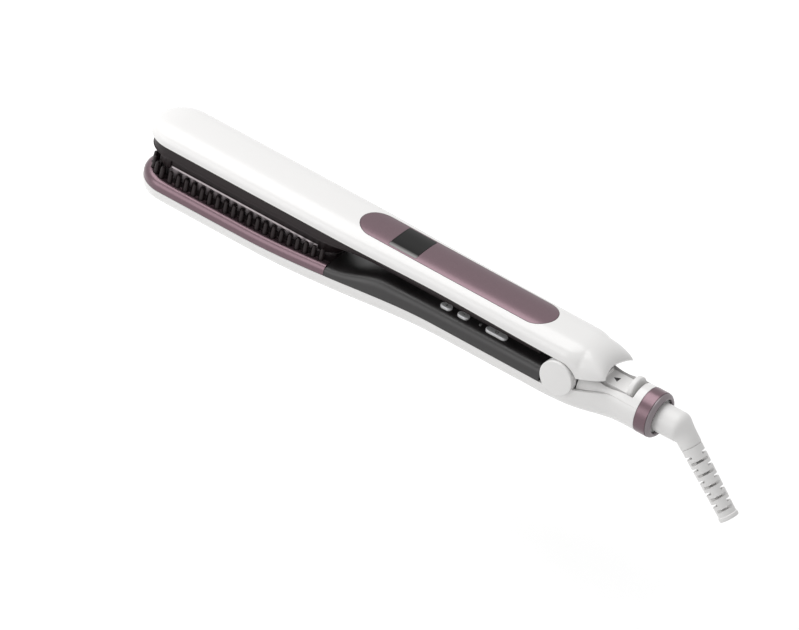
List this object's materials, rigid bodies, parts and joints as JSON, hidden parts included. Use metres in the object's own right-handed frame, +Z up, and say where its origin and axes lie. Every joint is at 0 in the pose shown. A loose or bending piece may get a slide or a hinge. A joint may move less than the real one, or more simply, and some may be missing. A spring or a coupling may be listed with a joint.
{
  "type": "hair straightener",
  "caption": "Hair straightener with a toothed brush round the lower plate, two hinged arms, a display, buttons, a lock and a swivelling cord exit.",
  "frame": {"origin": "middle of the flat underside of the brush end, where the straightener rests", "axes": "+X along the arms from the tips to the cord exit, +Y across the arms, +Z up from the lower arm to the upper arm"},
  "size_m": [0.3495, 0.034, 0.0584],
  "materials": {
    "white_shell": "glossy white moulding",
    "rose_trim": "rose metallic paint, satin gloss",
    "black_housing": "satin black moulding",
    "brush_plastic": "dark brown heat resistant moulding",
    "plate_metal": "polished and anodised",
    "steel": "plain steel",
    "heater": "ceramic heater in its foil",
    "circuit_board": "green solder mask",
    "button_silver": "silver paint, satin",
    "display_glass": "black tinted window, polished",
    "light_pipe": "smoked light pipe",
    "white_soft": "white moulding",
    "socket_grey": "grey acetal bush"
  },
  "bodies": {
    "lower_arm": {"lower_shell": "white_shell", "rim_cover": "rose_trim", "lower_housing": "black_housing", "tail_cover": "white_shell", "brush_frame": "brush_plastic", "lower_plate": "plate_metal", "lower_heater": "heater", "control_board": "circuit_board", "tact_switches": "black_housing", "power_led": "light_pipe", "hinge_pin": "steel", "hinge_cap_near": "white_shell", "hinge_cap_far": "white_shell", "swivel_socket": "socket_grey", "accent_ring": "rose_trim", "lower_screws": "steel", "opening_spring": "steel"},
    "upper_arm": {"upper_shell": "white_shell", "upper_housing": "black_housing", "plate_carrier": "black_housing", "upper_plate": "plate_metal", "upper_heater": "heater", "hinge_bracket": "steel", "inlay_panel": "rose_trim", "display_window": "display_glass", "display_module": "circuit_board", "upper_screws": "steel"},
    "plus_key": {"plus_button": "button_silver"},
    "minus_key": {"minus_button": "button_silver"},
    "power_key": {"power_button": "button_silver"},
    "lock": {"lock_slider": "white_soft"},
    "cord_exit": {"swivel_elbow": "white_soft", "strain_relief": "white_soft", "swivel_retainer": "socket_grey"}
  },
  "joints": [
    {"name": "arm_hinge", "type": "hinge", "parent": "lower_arm", "child": "upper_arm", "pos_m": [0.191, 0, 0.024], "axis": [0, 1, 0], "range_deg": [0, 12], "deforming": ["opening_spring"]},
    {"name": "plus_press", "type": "slide", "parent": "lower_arm", "child": "plus_key", "axis": [0, 0, -1], "range_m": [0, 0.0006], "stiffness_N_per_m": 400},
    {"name": "minus_press", "type": "slide", "parent": "lower_arm", "child": "minus_key", "axis": [0, 0, -1], "range_m": [0, 0.0006], "stiffness_N_per_m": 400},
    {"name": "power_press", "type": "slide", "parent": "lower_arm", "child": "power_key", "axis": [0, 0, -1], "range_m": [0, 0.0006], "stiffness_N_per_m": 400},
    {"name": "lock_slide", "type": "slide", "parent": "lower_arm", "child": "lock", "axis": [1, 0, 0], "range_m": [-0.0055, 0]},
    {"name": "cord_swivel", "type": "hinge", "parent": "lower_arm", "child": "cord_exit", "pos_m": [0.2313, 0, 0.0208], "axis": [1, 0, 0], "continuous": true}
  ]
}
